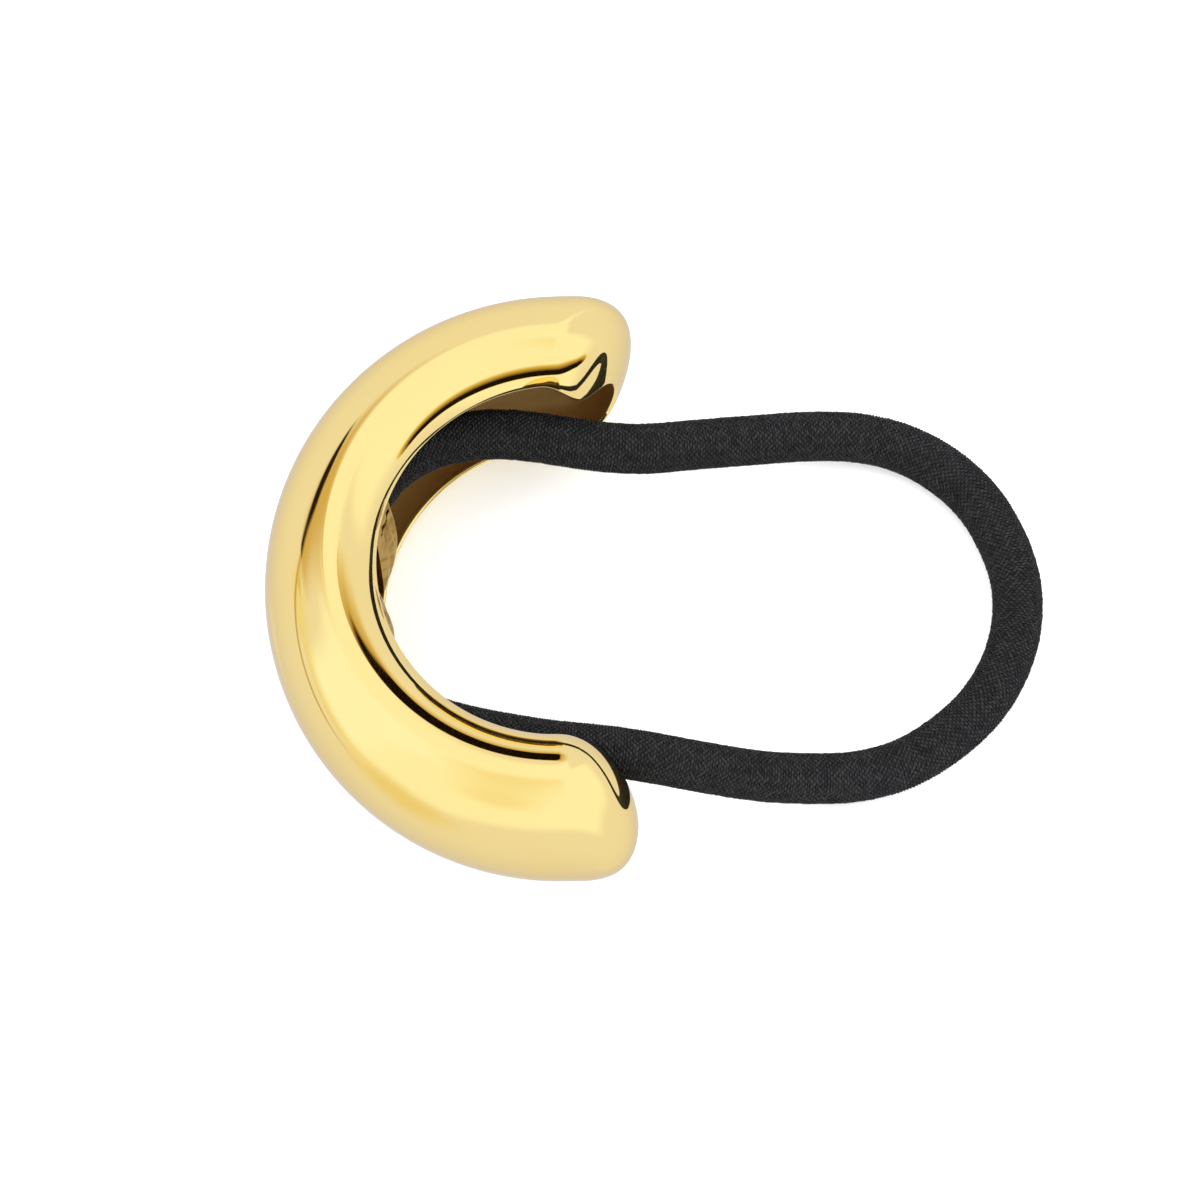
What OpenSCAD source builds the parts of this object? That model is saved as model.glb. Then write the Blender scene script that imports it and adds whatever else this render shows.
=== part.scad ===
// Ponytail cuff: a hollow, puffed metal C with an open slot along its inner side,
// two small bridges across the slot at the back, and an elastic that runs behind them.
// It lies on its side. The origin is the middle of the cuff's box, on the surface.

/* [Cuff] */
// Inside reach from the centre of the C to the lips at its back
bore_reach = 14.4; // [13:0.1:17]
// Half of the inside height of the C, between the lips
bore_rise = 14.8; // [13.4:0.1:17]
// Depth of the band from its lips to its crest
band_depth = 9.3; // [8.6:0.1:11]
// Width of the band
band_w = 18; // [16:0.1:20]
// Width of the slot between the two lips
slot_w = 12; // [10:0.1:13]
// Thickness of the metal
wall = 1.1; // [0.8:0.05:1.3]

/* [Ends] */
// Straight run between the curve and each rounded end
end_run = 1.6; // [1:0.1:4]
// Reach of each rounded end past its straight run
end_reach = 4.2; // [3.6:0.1:5.5]
// How far the crest leans out over each end
end_lean = 1.4; // [0.6:0.1:2]
// How far the slot rises into each end
end_notch = 2.4; // [1.4:0.1:3]

/* [Bridges] */
// Angle of each bridge from the middle of the back
bridge_turn = 14.5; // [13:0.5:20]
// Length of each bridge along the band
bridge_len = 4.4; // [3.4:0.1:5]
// Thickness of each bridge
bridge_t = 1; // [0.8:0.05:1.2]
// How far each bridge bows in from the lips
bridge_bow = 1.1; // [0.6:0.1:1.6]
// Length of the slits in each bridge
slit_len = 2.4; // [1.6:0.1:2.6]
// Width of the slits in each bridge
slit_w = 0.6; // [0.4:0.05:0.8]

/* [Elastic] */
// Thickness of the elastic
elastic_d = 4; // [3:0.1:4.2]

/* [Hidden] */

// Section of the band: an ellipse that the slot cuts open on its inner side
mid_z = band_w / 2;
lip_share = slot_w / band_w;
section_r = band_depth / (1 + sqrt(1 - pow(lip_share, 2)));
lip_turn = 180 - asin(lip_share);
lip_drop = -section_r * cos(lip_turn);
end_turn = acos((end_notch - lip_drop) / section_r);
notch_power = 2;

// Centre line of the section: half an ellipse with a straight run at each end
mid_reach = bore_reach + lip_drop;
mid_rise = bore_rise + lip_drop;
back_x = bore_reach + band_depth;
tip_x = end_run + norm([end_reach, end_lean]);
centre_x = (back_x - tip_x) / 2;

// Fineness of the shell
arc_steps = 30;
end_steps = 11;
section_steps = 10;
end_angle = 180 / (end_steps + 1);

// Stations along the centre line: position and the direction that faces outwards
function arc_station(turn) =
    let (n = [cos(turn) / mid_reach, sin(turn) / mid_rise])
    [[mid_reach * cos(turn), mid_rise * sin(turn)], n / norm(n)];
stations = concat(
    [[[end_run, mid_rise], [0, 1]]],
    [for (i = [0 : arc_steps]) arc_station(90 + 180 * i / arc_steps)],
    [[[end_run, -mid_rise], [0, -1]]]);
last = len(stations) - 1;

// A point of the section at one station, turned away from the crest by "turn"
function side_point(s, turn, side, inset) =
    let (p = s[0] + s[1] * (section_r - inset) * cos(turn))
    [centre_x + p[0], p[1], mid_z + side * (mid_z - inset) * sin(turn)];

// A point of a rounded end, where "way" runs from 90 at the upper lip to -90 at the lower one
function end_point(s, share, way, inset) =
    let (
        turn = share * (lip_turn - (lip_turn - end_turn) * pow(cos(way), notch_power)),
        out = ((end_reach - inset) * sin(turn) + end_lean * cos(turn)) * cos(way),
        p = s[0] + s[1] * (section_r - inset) * cos(turn) + [out, 0])
    [centre_x + p[0], p[1], mid_z + (mid_z - inset) * sin(turn) * sin(way)];

// One closed loop of the shell at a share of the way from the crest to the lips
function shell_loop(share, inset) = concat(
    [for (s = stations) side_point(s, share * lip_turn, 1, inset)],
    [for (i = [1 : end_steps]) end_point(stations[last], share, 90 - end_angle * i, inset)],
    [for (i = [last : -1 : 0]) side_point(stations[i], share * lip_turn, -1, inset)],
    [for (i = [1 : end_steps]) end_point(stations[0], share, end_angle * i - 90, inset)]);
shares = [for (k = [0 : section_steps]) (k + 0.5) / (section_steps + 0.5)];
loop_n = 2 * (last + 1 + end_steps);

// Faces between two loops that follow each other, as pairs of triangles
function band_faces(row) = [
    for (j = [0 : loop_n - 1])
        let (a = row * loop_n + j, b = row * loop_n + (j + 1) % loop_n)
        each [[a, b + loop_n, b], [a, a + loop_n, b + loop_n]]];

// The narrow strip that closes a loop along the crest, rung by rung
half_end = (end_steps - 1) / 2;
first_rung = loop_n - half_end;
rungs = last + 1 + 2 * half_end;
function rung_near(i) = (first_rung + i) % loop_n;
function rung_far(i) = (first_rung - 2 - i + loop_n) % loop_n;
strip = concat(
    [[first_rung - 1, rung_near(0), rung_far(0)]],
    [for (i = [0 : rungs - 2])
        each [[rung_near(i), rung_near(i + 1), rung_far(i + 1)],
              [rung_near(i), rung_far(i + 1), rung_far(i)]]],
    [[rung_near(rungs - 1), rung_near(rungs), rung_far(rungs - 1)]]);
function strip_faces(row, flip) = [
    for (f = strip)
        let (g = [f[0], f[1], f[2]] + [1, 1, 1] * row * loop_n)
        flip ? [g[2], g[1], g[0]] : g];

// Route of the elastic, a closed ring that starts behind the bridges
route = [
    [-8.6, 0, 9], [-8.3, 3.6, 9], [-7.2, 7, 9], [-5.2, 10.1, 9], [-2.2, 12.2, 9],
    [1.2, 13.1, 9], [4.8, 13.2, 9], [8.4, 12.7, 8.9], [12, 12.3, 8.4], [15.6, 12.4, 7.6],
    [20, 13.4, 6], [24.6, 14.4, 4.4], [29, 15.2, 3.1], [33, 15.4, 2.2], [36.6, 14.5, 2],
    [39.8, 12.6, 2], [42.5, 9.9, 2], [44.4, 6.5, 2], [45.5, 2.8, 2], [45.5, -1, 2],
    [44.5, -4.6, 2], [42.5, -8, 2], [39.6, -10.8, 2], [36.2, -12.9, 2], [32.6, -14, 2.2],
    [29, -14.5, 3.1], [24.6, -14.7, 4.4], [20, -14.5, 6.1], [16, -14.2, 7.6],
    [12.2, -13.9, 8.6], [8.4, -13.6, 9], [4.8, -13, 9], [1.2, -12.2, 9], [-2.2, -11.1, 9],
    [-5.1, -9.5, 9], [-7.3, -6.9, 9], [-8.4, -3.6, 9]];
elastic_sides = 10;

// One ring of points round the elastic, square to its route
function route_ring(i) =
    let (
        n = len(route),
        ahead = route[(i + 1) % n] - route[(i + n - 1) % n],
        along = ahead / norm(ahead),
        across = cross([0, 0, 1], along) / norm(cross([0, 0, 1], along)),
        up = cross(along, across))
    [for (k = [0 : elastic_sides - 1])
        let (a = 360 * (k + 0.5) / elastic_sides)
        route[i] + elastic_d / 2 * (cos(a) * up + sin(a) * across)];
function ring_faces(i) =
    let (n = len(route), s = elastic_sides, j = (i + 1) % n)
    [for (k = [0 : s - 1])
        let (m = (k + 1) % s)
        each [[i * s + k, j * s + k, j * s + m], [i * s + k, j * s + m, i * s + m]]];

module shell() {
    loops = concat(
        [for (k = shares) shell_loop(k, 0)],
        [for (k = [len(shares) - 1 : -1 : 0]) shell_loop(shares[k], wall)]);
    rows = len(loops);
    polyhedron(
        points = [for (l = loops) each l],
        faces = concat(
            strip_faces(0, false),
            [for (row = [0 : rows - 2]) each band_faces(row)],
            strip_faces(rows - 1, true)));
}

// One bridge, drawn in its cross-section and run along the band
module bridge(turn) {
    s = arc_station(turn);
    lip = s[0] - s[1] * lip_drop;
    reach = slot_w / 2 + wall * 0.4;
    arc_n = 12;
    bow = [for (i = [0 : arc_n]) let (v = 2 * i / arc_n - 1)
        [wall / 2 - bridge_bow * (1 - v * v), reach * v]];
    translate([centre_x + lip[0], lip[1], mid_z])
        rotate([0, 0, atan2(s[1][1], s[1][0])])
            difference() {
                rotate([90, 0, 0])
                    linear_extrude(height = bridge_len, center = true)
                        polygon(concat(bow, [for (i = [arc_n : -1 : 0]) bow[i] + [bridge_t, 0]]));
                for (side = [-1, 1])
                    translate([0, 0, side * (reach - wall - slit_w)])
                        cube([4 * bridge_t, slit_len, slit_w], center = true);
            }
}

module cuff() {
    color("gold") {
        shell();
        for (side = [-1, 1]) bridge(180 + side * bridge_turn);
    }
}

module elastic() {
    color("#2a2a2a")
        polyhedron(
            points = [for (i = [0 : len(route) - 1]) each route_ring(i)],
            faces = [for (i = [0 : len(route) - 1]) each ring_faces(i)]);
}

cuff();
elastic();
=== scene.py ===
# Ponytail cuff: a polished, hollow gold C with two small bridges at its back,
# and a knitted black elastic that runs behind them and out past both ends.
import math

import bmesh
import bpy
from mathutils import Matrix, Vector


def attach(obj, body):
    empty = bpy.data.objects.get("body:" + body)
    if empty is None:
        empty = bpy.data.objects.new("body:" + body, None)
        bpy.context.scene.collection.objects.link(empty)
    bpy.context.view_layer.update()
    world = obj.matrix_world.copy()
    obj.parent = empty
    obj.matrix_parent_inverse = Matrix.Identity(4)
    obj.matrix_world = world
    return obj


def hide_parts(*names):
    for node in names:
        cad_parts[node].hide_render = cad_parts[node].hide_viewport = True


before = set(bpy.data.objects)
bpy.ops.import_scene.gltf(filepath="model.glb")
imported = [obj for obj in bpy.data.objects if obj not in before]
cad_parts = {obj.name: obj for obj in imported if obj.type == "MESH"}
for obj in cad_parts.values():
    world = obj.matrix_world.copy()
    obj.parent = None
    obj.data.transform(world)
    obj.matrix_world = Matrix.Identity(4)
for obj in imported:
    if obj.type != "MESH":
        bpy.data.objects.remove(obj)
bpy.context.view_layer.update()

scene = bpy.context.scene
scene.view_settings.view_transform = "Standard"
mm = 0.001


# Node helpers

def plug(tree, value, place):
    if isinstance(value, Wire):
        tree.links.new(value.socket, place)
    else:
        place.default_value = value


class Wire:  # one output socket, on which sums and products add Math nodes
    def __init__(self, tree, socket):
        self.tree = tree
        self.socket = socket

    def math(self, operation, *values):
        node = self.tree.nodes.new("ShaderNodeMath")
        node.operation = operation
        for value, place in zip(values, node.inputs):
            plug(self.tree, value, place)
        return Wire(self.tree, node.outputs[0])

    def __add__(self, other):
        return self.math("ADD", self, other)

    def __radd__(self, other):
        return self.math("ADD", other, self)

    def __sub__(self, other):
        return self.math("SUBTRACT", self, other)

    def __rsub__(self, other):
        return self.math("SUBTRACT", other, self)

    def __mul__(self, other):
        return self.math("MULTIPLY", self, other)

    def __rmul__(self, other):
        return self.math("MULTIPLY", other, self)

    def __truediv__(self, other):
        return self.math("DIVIDE", self, other)

    def __rtruediv__(self, other):
        return self.math("DIVIDE", other, self)

    def __mod__(self, other):
        return self.math("MODULO", self, other)

    def __rmod__(self, other):
        return self.math("MODULO", other, self)


class Graph:  # a node tree, with one method that adds any node
    def __init__(self, tree):
        self.tree = tree
        tree.nodes.clear()

    # take: the output that it gives back, a tuple of them, or None for the node
    def add(self, kind, settings=None, inputs=None, take=0):
        node = self.tree.nodes.new(kind)
        for name, value in (settings or {}).items():
            if name == "stops":
                fillRamp(node.color_ramp, value)
            else:
                setattr(node, name, value)
        for name, value in (inputs or {}).items():
            plug(self.tree, value, node.inputs[name])
        if take is None:
            return node
        if isinstance(take, tuple):
            return [Wire(self.tree, node.outputs[name]) for name in take]
        return Wire(self.tree, node.outputs[take])

    def even(self, value, low, high, easing="LINEAR"):  # 0 below low, 1 above high
        return self.add("ShaderNodeMapRange", {"interpolation_type": easing},
                        {"Value": value, "From Min": low, "From Max": high})

    def smooth(self, value, low, high):  # the same, eased between
        return self.even(value, low, high, "SMOOTHSTEP")

    def blend(self, amount, first, second):  # two colours
        return self.add("ShaderNodeMix", {"data_type": "RGBA"},
                        {0: amount, 6: first, 7: second}, take=2)

    def noise(self, place, scale, detail, roughness=0.5):
        return self.add("ShaderNodeTexNoise", None,
                        {"Vector": place, "Scale": scale, "Detail": detail,
                         "Roughness": roughness})

    def bump(self, height, strength, depth):  # depth in mm
        return self.add("ShaderNodeBump", None,
                        {"Height": height, "Strength": strength, "Distance": depth * mm})

    def surface(self, shader, output="ShaderNodeOutputMaterial"):
        self.add(output, None, {"Surface": shader}, take=None)


def fillRamp(ramp, stops):
    while len(ramp.elements) < len(stops):
        ramp.elements.new(0.5)
    for element, (place, shade) in zip(ramp.elements, stops):
        element.position = place
        element.color = (*shade, 1)


def newMaterial(name):  # a material, its empty graph, and Object coordinates in it
    material = bpy.data.materials.new(name)
    material.use_nodes = True
    graph = Graph(material.node_tree)
    return material, graph, graph.add("ShaderNodeTexCoord", take="Object")


def newObject(name, data):  # at the origin, in the scene
    thing = bpy.data.objects.new(name, data)
    scene.collection.objects.link(thing)
    return thing


# Camera, at the photo's angle to the C but above the floor

cameraView = {
    "centre": (8.84, 0, 9),  # middle of the C, in mm
    "spin": 3.2,             # degrees: about the C's axis
    "tilt": 21.5,            # away from the C's axis
    "roll": -3.7,
    "aside": (3.12, -1.088),  # mm that the C stands left of and above the middle
    "distance": 480,
    "lens": 180,
    "nearest": 10,           # mm from the camera at which it starts to see
}


def placeCamera(view):
    turn = (Matrix.Rotation(math.radians(view["spin"]), 3, "Z")
            @ Matrix.Rotation(math.radians(view["tilt"]), 3, "X")
            @ Matrix.Rotation(math.radians(view["roll"]), 3, "Z"))
    data = bpy.data.cameras.new("photoCamera")
    data.lens = view["lens"]
    data.clip_start = view["nearest"] * mm
    camera = newObject("photoCamera", data)
    offset = turn @ Vector((*view["aside"], view["distance"]))
    camera.matrix_world = (Matrix.Translation((Vector(view["centre"]) + offset) * mm)
                           @ turn.to_4x4())
    scene.camera = camera


placeCamera(cameraView)
print("camera placed")


# Elastic: a round core with a knitted cover of short yarn stitches

elasticSizes = {
    "core": 1.97,            # mm: radius of the rubber core under the cover
    "coreSides": 12,
    "stitchLine": 1.98,      # mm: radius on which the stitches sit
    "columns": 28,           # stitches round the elastic
    "rows": 620,             # stitches along it, every other row half a stitch further round
    "stitch": (0.3, 0.125, 0.1),  # mm: half sizes across, along and out
    "lean": 0.28,            # radians that each stitch leans, left and right in turn
    "jitter": 0.4,           # radians: most that chance adds to the lean
    "swell": (0.75, 1.2),    # least and most that chance scales a stitch by
    "seed": 7,
    "lift": 0.1,             # mm: that the cover holds the core off the surface
    "pointSteps": 10,        # eased steps from each point of the route to the next
}
elasticRoute = [  # mm, a closed ring that starts behind the bridges
    (-8.6, 0, 9), (-8.3, 3.6, 9), (-7.2, 7, 9), (-5.2, 10.1, 9), (-2.2, 12.2, 9),
    (1.2, 13.1, 9), (4.8, 13.2, 9), (8.4, 12.7, 8.9), (12, 12.3, 8.4), (15.6, 12.4, 7.6),
    (20, 13.4, 6), (24.6, 14.4, 4.4), (29, 15.2, 3.1), (33, 15.4, 2.2), (36.6, 14.5, 2),
    (39.8, 12.6, 2), (42.5, 9.9, 2), (44.4, 6.5, 2), (45.5, 2.8, 2), (45.5, -1, 2),
    (44.5, -4.6, 2), (42.5, -8, 2), (39.6, -10.8, 2), (36.2, -12.9, 2), (32.6, -14, 2.2),
    (29, -14.5, 3.1), (24.6, -14.7, 4.4), (20, -14.5, 6.1), (16, -14.2, 7.6),
    (12.2, -13.9, 8.6), (8.4, -13.6, 9), (4.8, -13, 9), (1.2, -12.2, 9), (-2.2, -11.1, 9),
    (-5.1, -9.5, 9), (-7.3, -6.9, 9), (-8.4, -3.6, 9)]


def smoothRing(points, steps):  # an eased closed line through the points
    ring = [Vector(p) for p in points]
    n = len(ring)
    line = []
    for i in range(n):
        a, b, c, d = (ring[(i + k) % n] for k in (-1, 0, 1, 2))
        for s in range(steps):
            t = s / steps
            line.append(0.5 * (2 * b + (c - a) * t + (2 * a - 5 * b + 4 * c - d) * t ** 2
                               + (3 * b - a - 3 * c + d) * t ** 3))
    return line


def yarnMaterial():
    material, graph, place = newMaterial("blackKnit")
    # Each stitch's random tone; the core has none and reads 0, the darkest: painted shade in the
    # gaps between stitches
    shade = graph.add("ShaderNodeAttribute", {"attribute_name": "yarnShade"}, take="Fac")
    fibre = graph.noise(place, 9000, 2, 0.6)
    patch = graph.noise(place, 700, 3)
    tone = graph.smooth(shade * 0.5 + fibre * 0.35 + patch * 0.45, 0.25, 1.0)
    colour = graph.blend(tone, (0.005, 0.005, 0.006, 1), (0.024, 0.024, 0.025, 1))
    graph.surface(graph.add("ShaderNodeBsdfPrincipled", None,
                            {"Base Color": colour, "Roughness": 0.82 + fibre * 0.12,
                             "Specular IOR Level": 0.3,
                             "Normal": graph.bump(fibre, 0.5, 0.03)}))
    return material


def socketsOf(tree, names):  # the group's inputs, by name
    tree.interface.new_socket("Geometry", in_out="INPUT", socket_type="NodeSocketGeometry")
    for name, kind in names.items():
        tree.interface.new_socket(name, in_out="INPUT", socket_type="NodeSocket" + kind)
    tree.interface.new_socket("Geometry", in_out="OUTPUT", socket_type="NodeSocketGeometry")


def setInputs(modifier, values):
    for item in modifier.node_group.interface.items_tree:
        if item.in_out == "INPUT" and item.name in values:
            modifier[item.identifier] = values[item.name]


def tubeAlong(graph, route, sides, radius):
    return graph.add("GeometryNodeCurveToMesh", None, {
        "Curve": route,
        "Profile Curve": graph.add("GeometryNodeCurvePrimitiveCircle", None,
                                   {"Resolution": sides, "Radius": radius})})


def coverTree(material):
    kinds = {"Core": "Float", "Core Sides": "Int", "Stitch Line": "Float", "Columns": "Int",
             "Rows": "Int", "Stitch": "Vector", "Lean": "Float", "Jitter": "Float",
             "Least Swell": "Float", "Most Swell": "Float", "Seed": "Int"}
    tree = bpy.data.node_groups.new("knittedCover", "GeometryNodeTree")
    socketsOf(tree, kinds)
    graph = Graph(tree)
    (route, core, sides, line, columns, rows, stitch, lean, jitter, least, most,
     seed) = graph.add("NodeGroupInput", take=("Geometry", *kinds))

    def chance(low, high, draw):
        return graph.add("FunctionNodeRandomValue", {"data_type": "FLOAT"},
                         {2: low, 3: high, "Seed": draw}, take=1)

    evened = graph.add("GeometryNodeResampleCurve", None, {"Curve": route, "Count": rows})
    half = (graph.add("GeometryNodeInputIndex") % 2) * math.pi / columns
    evened = graph.add("GeometryNodeSetCurveTilt", None, {"Curve": evened, "Tilt": half})
    tube = tubeAlong(graph, evened, sides, core)

    # the points of a second tube carry the stitches, and each knows the way along the route
    capture = graph.add("GeometryNodeCaptureAttribute", {"domain": "POINT"}, take=None)
    capture.capture_items.new("VECTOR", "along")
    plug(tree, evened, capture.inputs[0])
    plug(tree, graph.add("GeometryNodeInputTangent"), capture.inputs[1])
    captured, along = (Wire(tree, output) for output in capture.outputs[:2])
    rings = tubeAlong(graph, captured, columns, line)

    column = graph.add("GeometryNodeInputIndex") % columns
    side = (column % 2) * 2 - 1  # -1 or 1 in turn
    outward = graph.add("FunctionNodeAlignRotationToVector", {"axis": "Z"},
                        {"Vector": graph.add("GeometryNodeInputNormal")})
    laid = graph.add("FunctionNodeAlignRotationToVector", {"axis": "Y", "pivot_axis": "Z"},
                     {"Rotation": outward, "Vector": along})
    leaned = graph.add("FunctionNodeRotateRotation", {"rotation_space": "LOCAL"}, {
        0: laid,
        1: graph.add("FunctionNodeAxisAngleToRotation", None,
                     {"Axis": (0, 0, 1),
                      "Angle": side * lean + chance(jitter * -1, jitter, seed)})})
    bead = graph.add("GeometryNodeMeshUVSphere", None,  # eight faces, squashed to a stitch
                     {"Segments": 4, "Rings": 2, "Radius": 1})
    stitches = graph.add("GeometryNodeInstanceOnPoints", None, {
        "Points": rings, "Instance": bead, "Rotation": leaned,
        "Scale": graph.add("ShaderNodeVectorMath", {"operation": "SCALE"},
                           {0: stitch, "Scale": chance(least, most, seed + 1)})})
    # Random tone on each stitch; the core gets none, so it renders darkest, as painted shade
    # between the stitches
    shaded = graph.add("GeometryNodeStoreNamedAttribute",
                       {"data_type": "FLOAT", "domain": "INSTANCE"},
                       {"Geometry": stitches, "Name": "yarnShade",
                        "Value": chance(0.2, 1, seed + 2)})
    both = graph.add("GeometryNodeJoinGeometry", take=None)
    for part in (tube, shaded):
        plug(tree, part, both.inputs[0])
    whole = graph.add("GeometryNodeRealizeInstances", None,
                      {"Geometry": Wire(tree, both.outputs[0])})
    softened = graph.add("GeometryNodeSetShadeSmooth", None, {"Geometry": whole})
    coloured = graph.add("GeometryNodeSetMaterial", None,
                         {"Geometry": softened, "Material": material})
    graph.add("NodeGroupOutput", None, {"Geometry": coloured}, take=None)
    return tree


def bakedPiece(name, grower):  # the grower's evaluated result as a plain mesh object
    evaluated = bpy.context.evaluated_depsgraph_get()
    mesh = bpy.data.meshes.new_from_object(grower.evaluated_get(evaluated),
                                           depsgraph=evaluated)
    mesh.name = name
    bpy.data.objects.remove(grower)
    return newObject(name, mesh)


def makeElastic(sizes):
    path = [p + Vector((0, 0, sizes["lift"]))
            for p in smoothRing(elasticRoute, sizes["pointSteps"])]
    data = bpy.data.curves.new("elasticRoute", "CURVE")
    data.dimensions = "3D"
    spline = data.splines.new("POLY")
    spline.points.add(len(path) - 1)
    for point, place in zip(spline.points, path):
        point.co = (*(place * mm), 1)
    spline.use_cyclic_u = True
    grower = newObject("elasticRoute", data)
    modifier = grower.modifiers.new("cover", "NODES")
    modifier.node_group = coverTree(yarnMaterial())
    setInputs(modifier, {
        "Core": sizes["core"] * mm, "Core Sides": sizes["coreSides"],
        "Stitch Line": sizes["stitchLine"] * mm,
        "Columns": sizes["columns"], "Rows": sizes["rows"],
        "Stitch": [s * mm for s in sizes["stitch"]],
        "Lean": sizes["lean"], "Jitter": sizes["jitter"],
        "Least Swell": sizes["swell"][0], "Most Swell": sizes["swell"][1],
        "Seed": sizes["seed"]})
    piece = bakedPiece("knittedElastic", grower)
    ring = [p * mm for p in path + path[:1]]
    length = sum((b - a).length for a, b in zip(ring, ring[1:]))
    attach(piece, "root")
    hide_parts("elastic")
    print(f"elastic made: {length * 1000:.0f} mm round, {len(piece.data.polygons)} faces")


makeElastic(elasticSizes)


# Cuff: one puffed shell with a rolled rim, and two bowed bridges soldered across its slot.
# A share is how far a place lies round the section: 0 at the crest of the band, 1 at its lips.

cuffSizes = {  # mm; the first nine are the solid's
    "boreReach": 14.4,   # from the middle of the C to the lips at its back
    "boreRise": 14.8,    # half the height between the lips
    "bandDepth": 9.3,
    "bandWidth": 18,
    "slotWidth": 12,
    "wall": 1.1,
    "endRun": 1.6,       # straight run before each rounded end
    "endReach": 4.2,     # of the rounded end past it
    "endLean": 1.4,      # that the crest leans out over the end
    "rimWall": 0.34,     # to which the wall thins at its rim
    "thinFrom": 0.45,    # share at which it starts to thin
    "rimOuter": 0.12,    # radius on the outer edge of the rim
    "rimInner": 0.1,     # and on its inner edge
    # how the slot closes at the upper (1) and lower (-1) end: how far it rises into the end, what
    # its rim takes of the end's reach, and the turn of the rim's inner edge (radians)
    "ends": {1: {"notch": 2.3, "reach": 0.86, "flare": 0.1},
             -1: {"notch": 2.7, "reach": 1.02, "flare": 0.06}},
    "endFrom": 0.3,      # share from which the end takes on that reach
    "flareLead": 6.0,    # run over which the rim's inner edge turns before each end
    "flarePower": 4,     # by which its turn grows towards the rim
    # how far the lip runs on as a tongue (radians), the power by which that grows towards the
    # rim, and where it starts, is full and is gone: mm past the shoulder, of which the end's
    # quarter turn has so many
    "tongue": {"turn": 0.17, "power": 5, "start": -3.4, "full": 1.0, "gone": 3.2,
               "quarter": 5.0},
    # mm before the end of the straight run at which an end's curve starts, the shares between
    # which it comes to that, and the power by which the slot closes over the curve
    "shoulder": {"early": 2.0, "shares": (0.1, 0.9), "power": 5},
    "steps": {"arc": 132, "run": 5, "end": 60, "outer": 44, "roll": 7, "inner": 26},
    "weld": 0.002,       # points nearer than this become one
}


def eased(t):
    t = min(max(t, 0), 1)
    return t * t * (3 - 2 * t)


def easedFrom(value, start, end):  # 0 at the start, 1 at the end
    return eased((value - start) / (end - start))


class Section:  # the band's section and centre line, from the sizes above
    def __init__(self, sizes):
        share = sizes["slotWidth"] / sizes["bandWidth"]
        self.sizes = sizes
        self.middle = sizes["bandWidth"] / 2
        self.radius = sizes["bandDepth"] / (1 + math.sqrt(1 - share ** 2))
        self.lipTurn = math.pi - math.asin(share)
        self.lipDrop = -self.radius * math.cos(self.lipTurn)
        self.reach = sizes["boreReach"] + self.lipDrop
        self.rise = sizes["boreRise"] + self.lipDrop
        tip = sizes["endRun"] + math.hypot(sizes["endReach"], sizes["endLean"])
        self.centre = (sizes["boreReach"] + sizes["bandDepth"] - tip) / 2

    def station(self, turn):  # place on the centre line and the way out from it
        out = Vector((math.cos(turn) / self.reach, math.sin(turn) / self.rise)).normalized()
        return Vector((self.reach * math.cos(turn), self.rise * math.sin(turn))), out

    def stations(self):  # from the upper end's straight run round to the lower one's
        run, steps = self.sizes["endRun"], self.sizes["steps"]
        line = [self.station(math.pi / 2 + math.pi * i / steps["arc"])
                for i in range(steps["arc"] + 1)]
        runs = [run * k / steps["run"] for k in range(1, steps["run"] + 1)]
        before = [(Vector((x, self.rise)), Vector((0, 1))) for x in reversed(runs)]
        after = [(Vector((x, -self.rise)), Vector((0, -1))) for x in runs]
        return before + line + after

    def flare(self, share, inset, end):  # turn of the inner surface towards the rim
        return (end["flare"] * inset / self.sizes["wall"]
                * share ** self.sizes["flarePower"])

    def tongue(self, share, past):  # turn that the lip gains, by mm past the shoulder
        form = self.sizes["tongue"]
        rise = easedFrom(past, form["start"], form["full"])
        fall = easedFrom(past, form["full"], form["gone"])
        return form["turn"] * rise * (1 - fall) * share ** form["power"]

    def endReach(self, turn, share, inset, end):  # past the straight run
        return (((self.sizes["endReach"] - inset) * math.sin(turn)
                 + self.sizes["endLean"] * math.cos(turn))
                * (1 + (end["reach"] - 1) * easedFrom(share, self.sizes["endFrom"], 1)))

    # way is 1 or -1 on the long side above or below, and between them on an end
    def point(self, place, share, way, inset):
        end = self.sizes["ends"][1 if place[0].y > 0 else -1]
        shoulder = self.sizes["shoulder"]
        early = shoulder["early"] * easedFrom(share, *shoulder["shares"])
        whole = self.endReach(share * self.lipTurn, share, 0, end) + early
        if abs(way) == 1:
            past = place[0].x - self.sizes["endRun"]
            near = max(past + early, 0) / whole
        else:
            past = (1 - abs(way)) * self.sizes["tongue"]["quarter"]
            near = math.cos(abs(way) * math.acos(early / whole))
        before = min(past, 0)
        endTurn = math.acos((end["notch"] - self.lipDrop) / self.radius)
        turn = (share * (self.lipTurn - (self.lipTurn - endTurn) * near ** shoulder["power"])
                + self.flare(share, inset, end) * eased(before / self.sizes["flareLead"] + 1)
                + self.tongue(share, past))
        out = ((self.endReach(turn, share, inset, end) + early) * near
               - max(before + early, 0))
        p = place[0] + place[1] * (self.radius - inset) * math.cos(turn)
        return Vector((self.centre + p.x + out, p.y,
                       self.middle + math.copysign(math.sqrt(1 - near ** 2), way)
                       * (self.middle - inset) * math.sin(turn)))

    def loop(self, line, share, inset):  # once round the shell, over both sides and both ends
        steps = self.sizes["steps"]["end"]
        ways = [1 - 2 * i / (steps + 1) for i in range(1, steps + 1)]
        return ([self.point(s, share, 1, inset) for s in line]
                + [self.point(line[-1], share, w, inset) for w in ways]
                + [self.point(s, share, -1, inset) for s in reversed(line)]
                + [self.point(line[0], share, -w, inset) for w in ways])

    def lipLength(self):  # round the section from crest to lip, by its slope at the lip
        return self.lipTurn * math.hypot(self.radius * math.sin(self.lipTurn),
                                         self.middle * math.cos(self.lipTurn))


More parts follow.
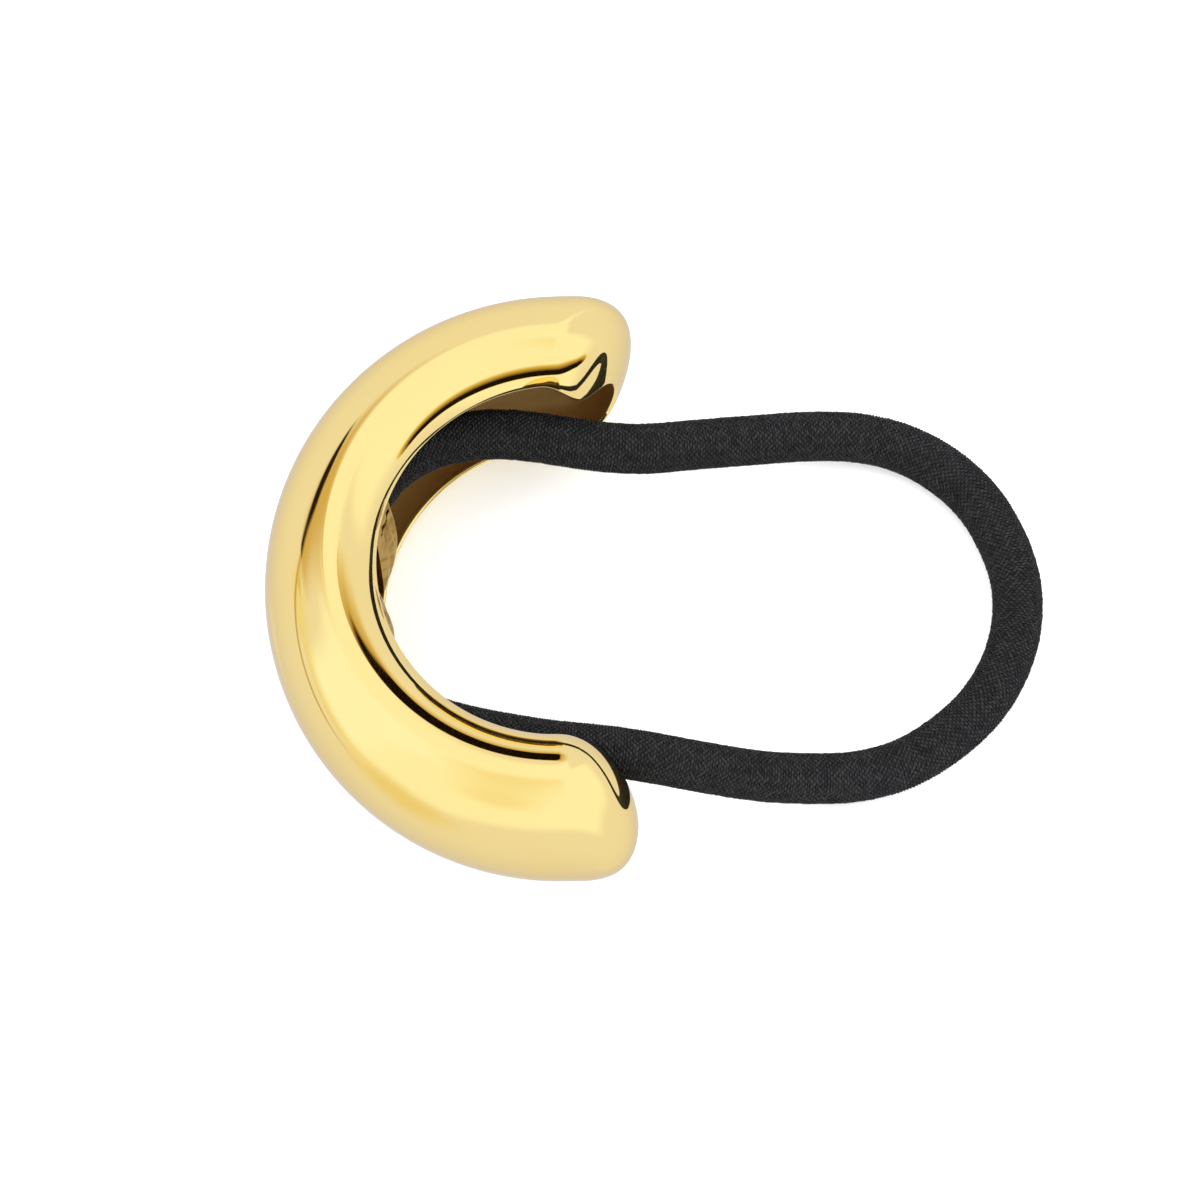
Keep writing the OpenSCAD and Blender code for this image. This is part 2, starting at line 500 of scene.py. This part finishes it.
# Rows of the shell from its crest round the rim and back inside: the share, the inset from the
# outer face, and how far inside the row is, from 0 to 1
def shellRows(sizes, reach):
    outer, inner, rim, wall = (sizes[k] for k in ("rimOuter", "rimInner", "rimWall", "wall"))
    steps = sizes["steps"]
    quarter = [math.pi / 2 * k / steps["roll"] for k in range(steps["roll"] + 1)]
    last = 1 - outer / reach
    rows = [(last * k / steps["outer"], 0, 0) for k in range(steps["outer"])]
    rows += [(1 - outer * (1 - math.sin(a)) / reach, outer * (1 - math.cos(a)), 0)
             for a in quarter]
    rows += [(1 - inner * (1 - math.cos(a)) / reach, rim - inner * (1 - math.sin(a)), a / math.pi)
             for a in quarter]
    last = 1 - inner / reach
    for k in range(1, steps["inner"] + 1):
        share = last * (1 - k / steps["inner"])
        thinning = easedFrom(share, sizes["thinFrom"], last)
        rows.append((share, wall + (rim - wall) * thinning, 1))
    return rows


def makeShell(section):
    sizes = section.sizes
    line = section.stations()
    shape = bmesh.new()
    # inside also masks the gold material's painted shade of the hollow
    inside = shape.verts.layers.float.new("inside")
    rings = []
    for share, inset, depth in shellRows(sizes, section.lipLength()):
        ring = [shape.verts.new(p * mm) for p in section.loop(line, share, inset)]
        for vert in ring:
            vert[inside] = depth
        rings.append(ring)
    for near, far in zip(rings, rings[1:]):
        for j in range(len(near)):
            k = (j + 1) % len(near)
            shape.faces.new((near[j], far[j], far[k], near[k]))
    bmesh.ops.remove_doubles(shape, verts=shape.verts, dist=sizes["weld"] * mm)
    bmesh.ops.recalc_face_normals(shape, faces=shape.faces)
    mesh = bpy.data.meshes.new("goldCuff")
    shape.to_mesh(mesh)
    shape.free()
    return mesh


bridgeSizes = {  # mm
    "turn": 14.5,        # degrees from the middle of the back
    "length": 3.7,
    "thick": 0.6,
    "bow": 0.62,
    "ripple": 0.16,      # height of the pressed ridges that run across the slot
    "waves": 3,          # of them along the bridge
    "skew": 1.2,         # radians by which they shift from the middle to each side
    "pillow": 0.55,      # share of the bow that is gone at its two ends
    "seat": 0.4,         # share of the wall that its sides reach into
    "slitLength": 2.4,
    "slitWidth": 0.6,
    "edge": 0.16,        # rounding of every edge
    "edgeAngle": 40,     # degrees from which an edge is rounded
    "rows": 8,           # of faces between the slits, to each side of the middle
    "rowReach": 0.86,    # share of the way to the slits that they take
    "columns": 12,       # of faces along the band, to each side of the middle
}


def makeBridge(section, sizes, side):
    wall = section.sizes["wall"]
    lipPlace, out = section.station(math.pi + side * math.radians(sizes["turn"]))
    lip = lipPlace - out * section.lipDrop
    alongBand = Vector((-out.y, out.x))
    reach = section.sizes["slotWidth"] / 2 + wall * sizes["seat"]
    slit = reach - wall - sizes["slitWidth"]
    half, slitHalf = sizes["length"] / 2, sizes["slitLength"] / 2
    rows, columns = sizes["rows"], sizes["columns"]
    across = sorted({-reach, reach, *[s * (slit + e * sizes["slitWidth"] / 2)
                                      for s in (-1, 1) for e in (-1, 1)],
                     *[slit * sizes["rowReach"] * k / rows for k in range(-rows, rows + 1)]})
    lengths = sorted({-slitHalf, slitHalf,
                      *[half * k / columns for k in range(-columns, columns + 1)]})
    shape = bmesh.new()

    def vert(u, z):
        v = z / reach
        bow = sizes["bow"] * (1 - sizes["pillow"] * (u / half) ** 2)
        bow += sizes["ripple"] * math.cos(sizes["waves"] * math.pi * u / half + sizes["skew"] * v)
        depth = section.sizes["rimWall"] / 2 - bow * (1 - v * v)
        p = lip + out * depth + alongBand * u
        return shape.verts.new(Vector((section.centre + p.x, p.y, section.middle + z)) * mm)

    grid = [[vert(u, z) for u in lengths] for z in across]
    for i in range(len(across) - 1):
        middle = (across[i] + across[i + 1]) / 2
        for j in range(len(lengths) - 1):
            holed = (abs(abs(middle) - slit) < sizes["slitWidth"] / 2
                     and abs(lengths[j] + lengths[j + 1]) / 2 < slitHalf)
            if not holed:
                shape.faces.new((grid[i][j], grid[i][j + 1], grid[i + 1][j + 1], grid[i + 1][j]))
    for face in shape.faces:
        face.normal_update()
        if face.normal.xy.dot(out) < 0:
            face.normal_flip()
    loose = [v for v in shape.verts if not v.link_faces]
    bmesh.ops.delete(shape, geom=loose, context="VERTS")
    mesh = bpy.data.meshes.new("bridge")
    shape.to_mesh(mesh)
    shape.free()
    grower = newObject("bridgeSheet", mesh)
    thicken = grower.modifiers.new("thick", "SOLIDIFY")
    thicken.thickness = sizes["thick"] * mm
    thicken.offset = 1
    bevel = grower.modifiers.new("edge", "BEVEL")
    bevel.width = sizes["edge"] * mm
    bevel.segments = 3
    bevel.limit_method = "ANGLE"
    bevel.angle_limit = math.radians(sizes["edgeAngle"])
    return bakedPiece("bridge", grower)


def goldMaterial():  # mirror-bright outside, duller inside, and browner inside as painted shade of the hollow
    material, graph, place = newMaterial("polishedGold")
    inside = graph.add("ShaderNodeAttribute", {"attribute_name": "inside"}, take="Fac")
    brushed = graph.add("ShaderNodeMapping", None, {"Vector": place, "Scale": (1, 1, 24)})
    cloud = graph.noise(place, 90, 2)
    smudge = graph.noise(place, 420, 4, 0.6)
    hair = graph.noise(brushed, 1500, 2)
    cast = graph.noise(place, 1400, 3)
    polished = graph.blend(graph.smooth(cloud, 0.3, 0.7), (1.0, 0.80, 0.315, 1),
                           (1.0, 0.785, 0.295, 1))
    # Painted shade: the inner face takes a dark brown in place of the gold, for the shade deep in
    # the hollow
    colour = graph.blend(inside, polished, (0.48, 0.29, 0.09, 1))
    rough = 0.03 + graph.smooth(smudge, 0.45, 0.75) * 0.025 + inside * (0.34 + cast * 0.08)
    relief = hair * (1 - inside) * 0.02 + cast * inside * 0.4
    # Less metal inside, so that the painted brown shade shows under the plain light
    graph.surface(graph.add("ShaderNodeBsdfPrincipled", None,
                            {"Base Color": colour, "Metallic": 1 - inside * 0.55,
                             "Roughness": rough, "Specular Tint": (0.8, 0.76, 0.7, 1),
                             "Normal": graph.bump(relief, 0.35, 0.02)}))
    return material


def bridgeMaterial():  # pressed and tumbled, so a little softer than the shell, and darker brown as painted shade of the slot it sits in
    material, graph, place = newMaterial("pressedGold")
    cloud = graph.noise(place, 600, 2)
    grain = graph.noise(place, 2400, 3)
    # Painted shade: both tones are far darker than the shell's gold, for the shade in the slot;
    # the cloud only varies them at random
    colour = graph.blend(graph.smooth(cloud, 0.35, 0.65), (0.52, 0.36, 0.14, 1),
                         (0.3, 0.19, 0.07, 1))
    graph.surface(graph.add("ShaderNodeBsdfPrincipled", None,
                            {"Base Color": colour, "Metallic": 1,
                             "Roughness": 0.12 + grain * 0.1,
                             "Specular Tint": (0.8, 0.67, 0.42, 1),
                             "Normal": graph.bump(cloud + grain * 0.3, 0.4, 0.03)}))
    return material


def makeCuff():
    section = Section(cuffSizes)
    mesh = makeShell(section)
    shape = bmesh.new()
    shape.from_mesh(mesh)
    for side in (-1, 1):
        bridge = makeBridge(section, bridgeSizes, side)
        count = len(shape.faces)
        shape.from_mesh(bridge.data)
        shape.faces.ensure_lookup_table()
        for face in shape.faces[count:]:
            face.material_index = 1
        bpy.data.objects.remove(bridge)
    shape.to_mesh(mesh)
    shape.free()
    for face in mesh.polygons:
        face.use_smooth = True
    for material in (goldMaterial(), bridgeMaterial()):
        mesh.materials.append(material)
    piece = newObject("goldCuff", mesh)
    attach(piece, "root")
    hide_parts("cuff")
    print(f"cuff made: {len(mesh.polygons)} faces")


makeCuff()


# Floor and studio light

studio = {
    "floorRadius": 3.0,     # m
    "floorShade": 0.92,
    "floorGrain": 0.02,     # by which the paper's fibres are lighter
    "glow": 0.12,           # the paper's own light, as of a lit table
    "sky": 2.3,             # plain light on the floor and the elastic
    "tent": (1.02, 1.06, 1.14),  # what the metal mirrors where nothing is painted on the tent
}


def makeFloor(settings):
    mesh = bpy.data.meshes.new("paperFloor")
    shape = bmesh.new()
    bmesh.ops.create_circle(shape, cap_ends=True, segments=96, radius=settings["floorRadius"])
    shape.to_mesh(mesh)
    shape.free()
    floor = newObject("paperFloor", mesh)
    material, graph, place = newMaterial("whitePaper")
    low = settings["floorShade"]
    high = low + settings["floorGrain"]
    colour = graph.blend(graph.noise(place, 900, 3), (low, low, low, 1), (high, high, high, 1))
    lit = graph.add("ShaderNodeEmission", None, {"Color": colour, "Strength": settings["glow"]})
    paper = graph.add("ShaderNodeBsdfDiffuse", None, {"Color": colour})
    graph.surface(graph.add("ShaderNodeAddShader", None, {0: paper, 1: lit}))
    mesh.materials.append(material)
    floor.visible_glossy = False  # the metal mirrors the tent below it instead


# The light tent that the metal mirrors. Each part of it is painted over the last, in degrees
# round from +X and degrees up. A part with a path is a stroke along it, so many degrees wide at
# each point and then so many degrees soft. A part with an axis is a circle so many degrees away
# from that axis; it is whole within the first reach of its centre and gone past the second.

coolPaper = (0.88, 0.87, 0.98)  # a shade below the tent's own white
sideAxis = (52, -30)            # of the circles that cross the outer face
tentParts = {
    "leftGlow": {"path": [(184, 50), (188, 0)], "wide": [16, 16], "soft": 16,
                 "paint": (1.06, 1.12, 1.3)},
    "sideHoney": {"path": [(-114, 70), (-110, 20)], "wide": [2, 2], "soft": 16,
                  "paint": (0.95, 0.92, 0.8)},
    "backPaper": {"path": [(121, 2), (122, 2)], "wide": [53, 53], "soft": 9,
                  "paint": coolPaper},
    "endPaper": {"path": [(-25, -32), (50, -28)], "wide": [24, 24], "soft": 20,
                 "paint": coolPaper},
    "frontPaper": {"path": [(-88, -62), (0, -72), (60, -80)], "wide": [40, 44, 30],
                   "soft": 12, "paint": coolPaper},
    "sideShade": {"axis": sideAxis, "away": 118, "centre": (-178, -6), "reach": (20, 40),
                  "wide": 2, "soft": 12, "paint": (0.87, 0.82, 0.64)},
    "sidePaper": {"path": [(170, -23), (-175, -40), (-150, -54)], "wide": [19, 20, 20],
                  "soft": 2, "paint": coolPaper},
    "sideLine": {"axis": sideAxis, "away": 113.3, "centre": (172, -3), "reach": (24, 48),
                 "wide": 0.2, "soft": 1.8, "paint": (0.6, 0.44, 0.2)},
    "lowHoney": {"path": [(-142, -29), (-138, -31)], "wide": [2, 2], "soft": 18,
                 "paint": (0.86, 0.77, 0.52)},
    "seamLine": {"path": [(112, 65), (122, 58), (133, 46), (165, 13)], "wide": [0.3] * 4,
                 "soft": 3.5, "paint": (0.76, 0.6, 0.32)},
    "seamShade": {"path": [(122, 57), (142, 42), (156, 27)], "wide": [1, 1.5, 0.5],
                  "soft": 12, "paint": (0.66, 0.49, 0.22)},
    "seamGap": {"path": [(129, 44), (138, 39), (156, 21)], "wide": [2.4, 2.2, 0.2],
                "soft": 3, "paint": (0.02, 0.01, 0.004)},
}


def aim(place):  # a direction from degrees round and degrees up
    turn, rise = (math.radians(v) for v in place)
    return Vector((math.cos(turn) * math.cos(rise), math.sin(turn) * math.cos(rise),
                   math.sin(rise)))


def strokeMask(graph, way, part):  # a stroke along a path
    def vector(operation, values, take=0):
        return graph.add("ShaderNodeVectorMath", {"operation": operation},
                         dict(enumerate(values)), take=take)

    soft = math.radians(part["soft"])
    mask = 0
    path, wide = part["path"], [math.radians(w) for w in part["wide"]]
    for i in range(len(path) - 1):
        start, end = aim(path[i]), aim(path[i + 1])
        run = end - start
        reach = vector("DOT_PRODUCT", (vector("SUBTRACT", (way, start)), run), take="Value")
        share = graph.add("ShaderNodeMath", {"operation": "MULTIPLY", "use_clamp": True},
                          {0: reach, 1: 1 / run.length_squared})
        nearest = vector("MULTIPLY_ADD", (run, share, start))
        apart = vector("DISTANCE", (way, nearest), take="Value")
        width = share * (wide[i + 1] - wide[i]) + wide[i]
        here = 1 - graph.smooth(apart, width, width + soft)
        mask = here if i == 0 else here.math("MAXIMUM", here, mask)
    return mask


def ringMask(graph, way, part):  # a stretch of a circle round an axis, faded at both ends
    turned = graph.add("ShaderNodeVectorMath", {"operation": "DOT_PRODUCT"},
                       {0: way, 1: aim(part["axis"])}, take="Value")
    angle = turned.math("ARCCOSINE", turned) * (180 / math.pi)
    off = angle.math("ABSOLUTE", angle - part["away"])
    apart = graph.add("ShaderNodeVectorMath", {"operation": "DISTANCE"},
                      {0: way, 1: aim(part["centre"])}, take="Value")
    near, far = (2 * math.sin(math.radians(r) / 2) for r in part["reach"])
    return ((1 - graph.smooth(off, part["wide"], part["wide"] + part["soft"]))
            * (1 - graph.smooth(apart, near, far)))


def makeTent(settings):
    world = bpy.data.worlds.new("lightTent")
    world.use_nodes = True
    scene.world = world
    graph = Graph(world.node_tree)
    way = graph.add("ShaderNodeTexCoord", take="Generated")
    colour = (*settings["tent"], 1)
    for part in tentParts.values():
        mask = (ringMask if "axis" in part else strokeMask)(graph, way, part)
        colour = graph.blend(mask, colour, (*part["paint"], 1))
    mirrored = graph.add("ShaderNodeBackground", None, {"Color": colour, "Strength": 1})
    plain = graph.add("ShaderNodeBackground", None,
                      {"Color": (1, 1, 1, 1), "Strength": settings["sky"]})
    glossy = graph.add("ShaderNodeLightPath", take="Is Glossy Ray")
    graph.surface(graph.add("ShaderNodeMixShader", None, {0: glossy, 1: plain, 2: mirrored}),
                  "ShaderNodeOutputWorld")


# Cards close to the cuff, in mm: the lower arc mirrors the dark upperCard, the upper arc the dark
# lowerCard, and a pale endCard stands past the mouth. They are seen by one face, and in the
# metal alone where it mirrors them straight. A card fades over its own margins (start, end, foot
# and top) through its stops.

cards = [
    {"name": "upperCard", "corner": (5.4, 17, 19), "along": (1, 0, 0), "size": (24.6, 34),
     "margins": (1.2, 18, 13.3, 3.5), "stops": "band",
     "even": True,           # fades straight, not eased
     "slant": 0.5,           # mm that its top edge climbs for each mm along
     "lean": 5},             # mm that its end stands back at the top
    {"name": "lowerCard", "corner": (92, -12, 13.4), "along": (-1, 0, 0), "size": (90, 12.6),
     "margins": (50, 6, 0.7, 10.5), "stops": "dark",
     "opaque": 0.3,          # share of the fade after which nothing shows through
     "arch": (5, 22, 70)},   # mm that it climbs, between the next two mm along
    {"name": "endCard", "corner": (42, 95, 2), "along": (0, -1, 0), "size": (86, 120),
     "margins": (45, 12, 1, 70), "stops": "paper"},
]
leanFrom = 0.7  # share of a card's height at which its end starts to lean
cardStops = {
    "dark": [(0, (0.95, 0.9, 0.7)), (0.25, (0.8, 0.65, 0.25)), (0.55, (0.5, 0.36, 0.11)),
             (0.75, (0.3, 0.18, 0.05)), (0.9, (0.01, 0.006, 0.002))],
    "band": [(0, (1.02, 1.03, 1.05)), (0.23, (0.93, 0.89, 0.7)), (0.45, (0.79, 0.7, 0.4)),
             (0.68, (0.68, 0.52, 0.2)), (0.87, (0.58, 0.42, 0.13)), (0.91, (0.36, 0.2, 0.04)),
             (0.96, (0.008, 0.004, 0.001))],
    "paper": [(0, (0.95, 0.95, 1.0)), (1, coolPaper)],
}


def makeCard(card):  # it faces the way that its own width and +Z give by the right hand
    corner, along = Vector(card["corner"]), Vector(card["along"])
    wide, high = card["size"]
    arch, archStart, archEnd = card.get("arch", (0, 0, 1))
    right, up = along * wide, Vector((0, 0, high + arch))
    mesh = bpy.data.meshes.new(card["name"])
    corners = [corner, corner + right, corner + right + up, corner + up]
    mesh.from_pydata([p * mm for p in corners], [], [(0, 1, 2, 3)])
    material, graph, place = newMaterial(card["name"])
    fromCorner = graph.add("ShaderNodeVectorMath", {"operation": "SUBTRACT"},
                           {0: place, 1: corner * mm})
    across = graph.add("ShaderNodeVectorMath", {"operation": "DOT_PRODUCT"},
                       {0: fromCorner, 1: along}, take="Value") / mm
    rise = graph.add("ShaderNodeSeparateXYZ", None, {0: fromCorner}, take="Z") / mm
    rise = rise - graph.smooth(across, archStart, archEnd) * arch
    start, end, foot, top = card["margins"]
    ease = graph.even if card.get("even") else graph.smooth
    under = rise - across * card.get("slant", 0)
    leaned = across + graph.smooth(rise, high * leanFrom, high) * card.get("lean", 0)
    mask = (ease(across, 0, start) * (1 - ease(leaned, wide - end, wide))
            * ease(rise, 0, foot) * (1 - ease(under, high - top, high)))
    shade = graph.add("ShaderNodeValToRGB", {"stops": cardStops[card["stops"]]}, {0: mask})
    glow = graph.add("ShaderNodeEmission", None, {"Color": shade})
    clear = graph.add("ShaderNodeBsdfTransparent")
    back = graph.add("ShaderNodeNewGeometry", take="Backfacing")
    bounce = graph.add("ShaderNodeLightPath", take="Glossy Depth")
    straight = bounce.math("LESS_THAN", bounce, 1.5)  # mirrored once, not again
    seen = graph.smooth(mask, 0, card.get("opaque", 1)) * (1 - back) * straight
    graph.surface(graph.add("ShaderNodeMixShader", None, {0: seen, 1: clear, 2: glow}))
    mesh.materials.append(material)
    thing = newObject(card["name"], mesh)
    for sight in ("camera", "diffuse", "transmission", "volume_scatter", "shadow"):
        setattr(thing, "visible_" + sight, False)


makeFloor(studio)
makeTent(studio)
for card in cards:
    makeCard(card)
print("studio lit")
